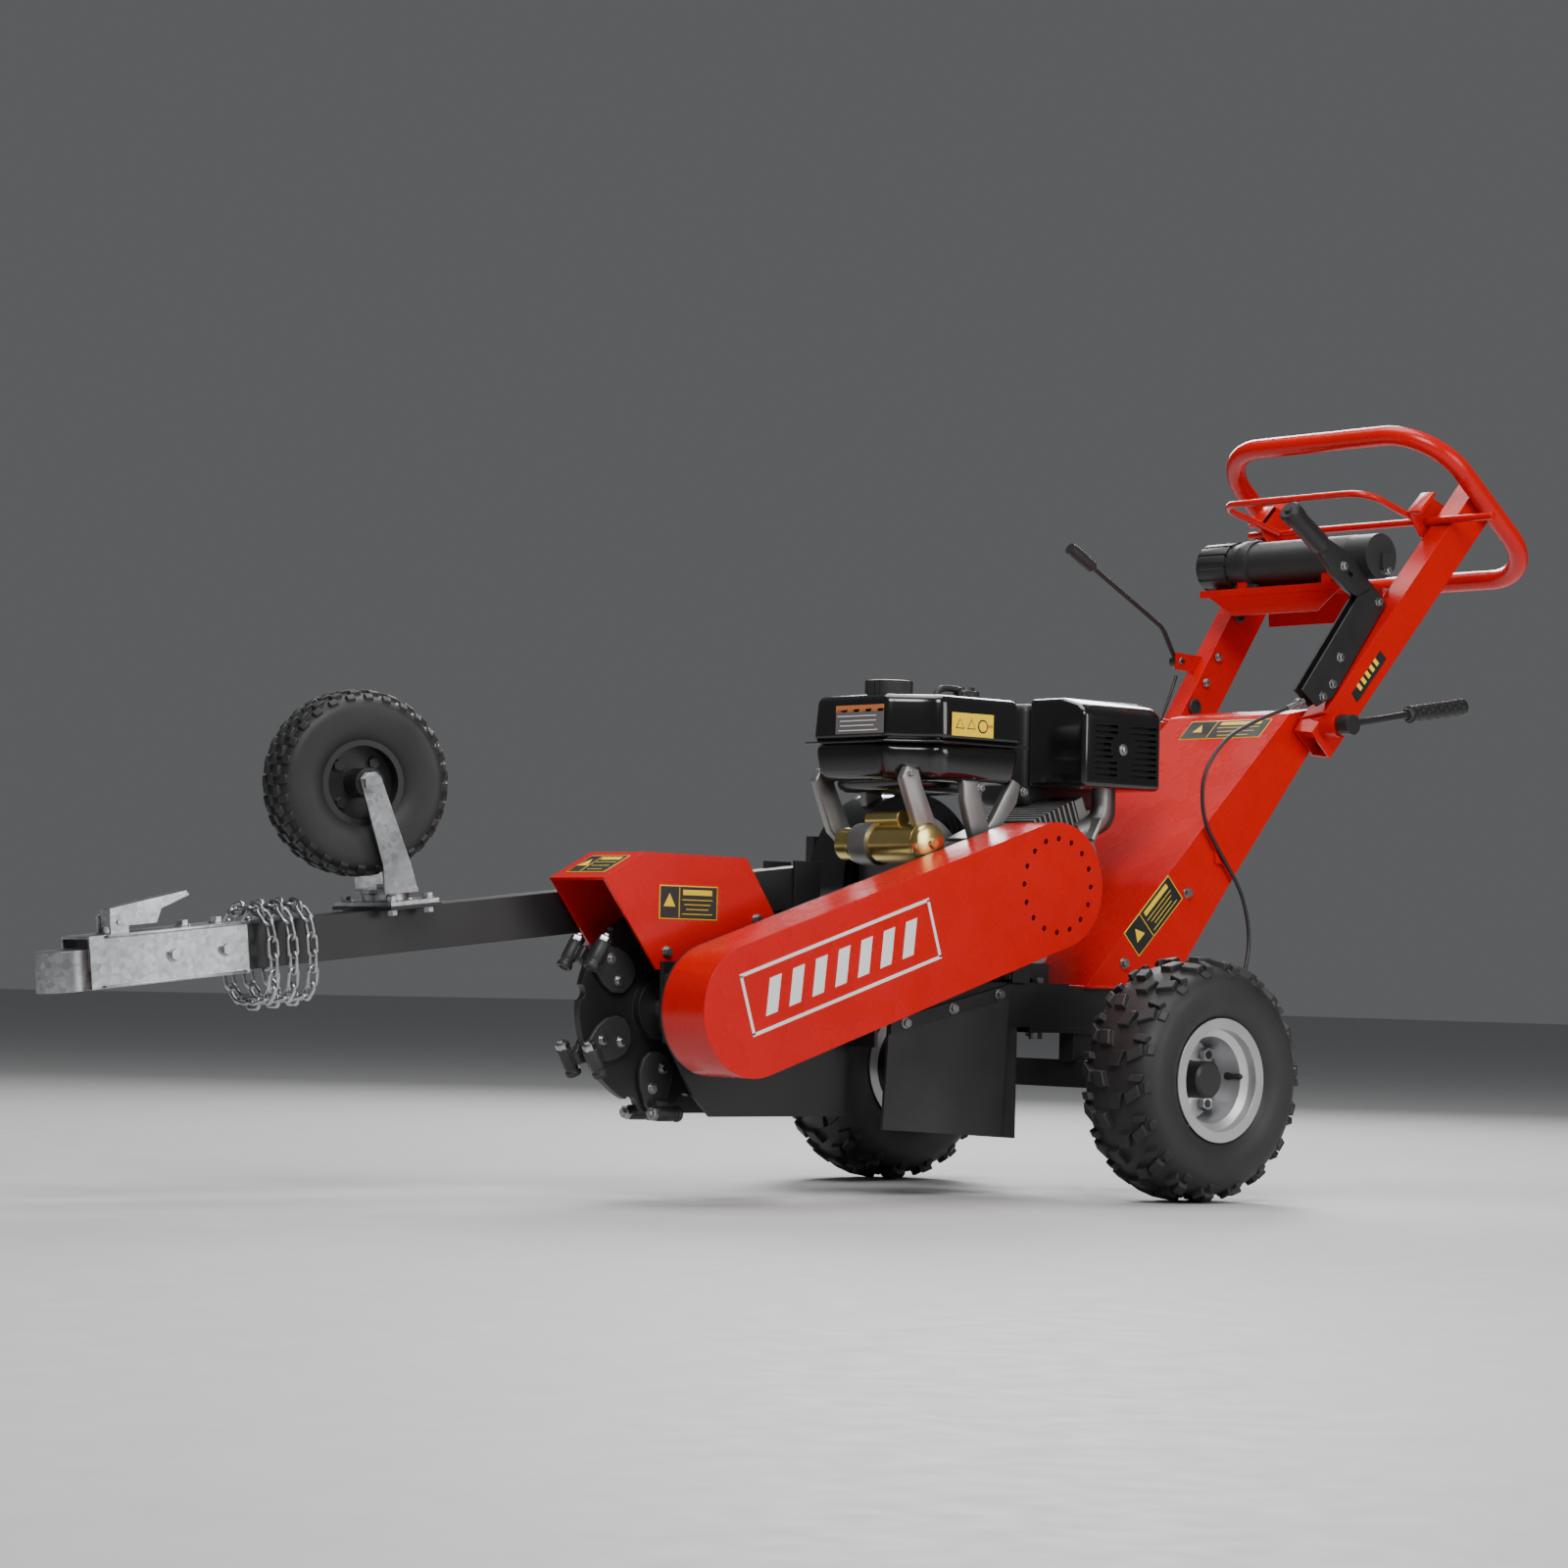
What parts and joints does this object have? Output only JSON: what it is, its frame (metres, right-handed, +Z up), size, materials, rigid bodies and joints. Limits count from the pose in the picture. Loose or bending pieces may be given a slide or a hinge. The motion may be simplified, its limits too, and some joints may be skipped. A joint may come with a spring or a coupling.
{
  "type": "stump grinder",
  "caption": "Tow-behind petrol stump grinder: belt-driven toothed cutter disc under a hood, two ATV wheels, ring handlebar, tow coupler and stowed jockey wheel.",
  "frame": {"origin": "on the ground, midway between the two main wheels side to side and midway between the tow coupler nose and the rear of the handlebar ring", "axes": "+X toward the rear, where the operator stands; +Y toward the side away from the belt guard; +Z up"},
  "size_m": [2.5936, 0.799, 1.2144],
  "materials": {
    "red_powder": "gloss red powder coat",
    "black_powder": "satin black powder coat",
    "black_gloss": "gloss black enamel",
    "silver_paint": "silver wheel paint",
    "tyre_rubber": "matte black tyre rubber",
    "sheet_rubber": "matte black rubber",
    "belt_rubber": "matte black belt rubber",
    "zinc_plate": "bright zinc plate",
    "bare_steel": "machined steel",
    "cast_aluminium": "bead blasted casting",
    "cast_iron": "cast iron, painted",
    "black_plastic": "matte black plastic",
    "gold_zinc": "yellow zinc plate",
    "cable_jacket": "black cable jacket"
  },
  "bodies": {
    "chassis": {"manual_tube": "black_plastic", "air_cleaner": "black_plastic", "battery": "black_plastic", "frame_bolts": "zinc_plate", "tow_coupler": "zinc_plate", "safety_chain": "zinc_plate", "caster_plate": "zinc_plate", "chassis_frame": "black_powder", "axle_beam": "black_powder", "cutter_side_plates": "black_powder", "towbar": "black_powder", "brake_bracket": "black_powder", "flap_strap": "black_powder", "guard_backplate": "black_powder", "fuel_tank": "black_gloss", "muffler_guard": "black_gloss", "fan_housing": "black_gloss", "riser_housing": "red_powder", "handle_arm_left": "red_powder", "handle_arm_right": "red_powder", "handle_cross_plate": "red_powder", "handlebar_loop": "red_powder", "belt_guard": "red_powder", "cutter_hood": "red_powder", "shaft_bearings": "cast_iron", "muffler": "cast_iron", "engine_block": "cast_aluminium", "cylinder": "cast_aluminium", "tank_brackets": "cast_aluminium", "starter_motor": "gold_zinc", "drive_belts": "belt_rubber", "rubber_flaps": "sheet_rubber", "brake_cable": "cable_jacket", "throttle_cable": "cable_jacket"},
    "left_wheel": {"tyre_left": "tyre_rubber", "rim_left": "silver_paint", "hub_left": "black_plastic", "lug_nuts_left": "zinc_plate"},
    "right_wheel": {"tyre_right": "tyre_rubber", "rim_right": "silver_paint", "hub_right": "black_plastic", "lug_nuts_right": "zinc_plate"},
    "cutter": {"cutter_shaft": "bare_steel", "cutter_disc": "black_powder", "tooth_pockets": "cast_iron", "cutter_teeth": "bare_steel", "cutter_pulley": "cast_iron"},
    "engine_shaft": {"crankshaft": "bare_steel", "clutch_pulley": "cast_iron"},
    "fuel_filler_cap": {"fuel_cap": "black_plastic"},
    "starter_pull": {"recoil_grip": "black_plastic"},
    "hitch_latch": {"coupler_latch": "zinc_plate"},
    "jockey_fork": {"caster_fork": "zinc_plate"},
    "jockey_wheel": {"caster_rim": "black_powder", "caster_tyre": "tyre_rubber"},
    "parking_brake_lever": {"brake_lever": "black_powder"},
    "throttle_hand_lever": {"throttle_lever": "black_powder"},
    "presence_bail": {"operator_bail": "red_powder"},
    "axle_lock_lever": {"side_lever": "black_powder"},
    "tube_lid": {"tube_cap": "black_plastic"}
  },
  "joints": [
    {"name": "left_wheel_spin", "type": "hinge", "parent": "chassis", "child": "left_wheel", "pos_m": [0.3829, -0.327, 0.178], "axis": [0, 1, 0], "continuous": true},
    {"name": "right_wheel_spin", "type": "hinge", "parent": "chassis", "child": "right_wheel", "pos_m": [0.3829, 0.327, 0.178], "axis": [0, 1, 0], "continuous": true},
    {"name": "cutter_spin", "type": "hinge", "parent": "chassis", "child": "cutter", "pos_m": [-0.3621, 0, 0.265], "axis": [0, 1, 0], "continuous": true},
    {"name": "engine_shaft_spin", "type": "hinge", "parent": "chassis", "child": "engine_shaft", "pos_m": [0.2119, -0.12, 0.454], "axis": [0, 1, 0], "continuous": true},
    {"name": "fuel_cap_turn", "type": "hinge", "parent": "chassis", "child": "fuel_filler_cap", "pos_m": [0.0829, 0.015, 0.74], "axis": [0, 0, 1], "range_deg": [0, 120]},
    {"name": "starter_cord_pull", "type": "slide", "parent": "chassis", "child": "starter_pull", "axis": [-1, 0, 0], "range_m": [0, 0.35], "stiffness_N_per_m": 30, "springref_m": -0.05},
    {"name": "hitch_latch_lift", "type": "hinge", "parent": "chassis", "child": "hitch_latch", "pos_m": [-1.18811, 0.098, 0.36219], "axis": [0, 1, 0], "range_deg": [-75, 0]},
    {"name": "jockey_swivel", "type": "hinge", "parent": "chassis", "child": "jockey_fork", "pos_m": [-0.75748, 0.098, 0.41653], "axis": [-0.1115, 0, 0.9938], "continuous": true},
    {"name": "jockey_wheel_spin", "type": "hinge", "parent": "jockey_fork", "child": "jockey_wheel", "pos_m": [-0.80676, 0.10623, 0.55993], "axis": [0.2404, 0.9703, 0.027], "continuous": true},
    {"name": "brake_lever_swing", "type": "hinge", "parent": "chassis", "child": "parking_brake_lever", "pos_m": [0.9499, -0.1675, 0.926], "axis": [0, 1, 0], "range_deg": [-30, 0]},
    {"name": "throttle_lever_swing", "type": "hinge", "parent": "chassis", "child": "throttle_hand_lever", "pos_m": [0.8679, 0.18, 0.84], "axis": [0, 1, 0], "range_deg": [-25, 25]},
    {"name": "bail_squeeze", "type": "hinge", "parent": "chassis", "child": "presence_bail", "pos_m": [1.0799, 0, 1.066], "axis": [0, 1, 0], "range_deg": [0, 28], "stiffness_Nm_per_rad": 3, "springref_deg": -17.19},
    {"name": "axle_lock_swing", "type": "hinge", "parent": "chassis", "child": "axle_lock_lever", "pos_m": [0.8409, -0.214, 0.724], "axis": [0, 1, 0], "range_deg": [-35, 15]},
    {"name": "tube_lid_turn", "type": "hinge", "parent": "chassis", "child": "tube_lid", "pos_m": [0.9409, 0.14, 0.997], "axis": [0, 1, 0], "range_deg": [0, 180]}
  ],
  "couplings": [
    {"joint": "engine_shaft_spin", "follows": "cutter_spin", "ratio": 1.3333}
  ]
}
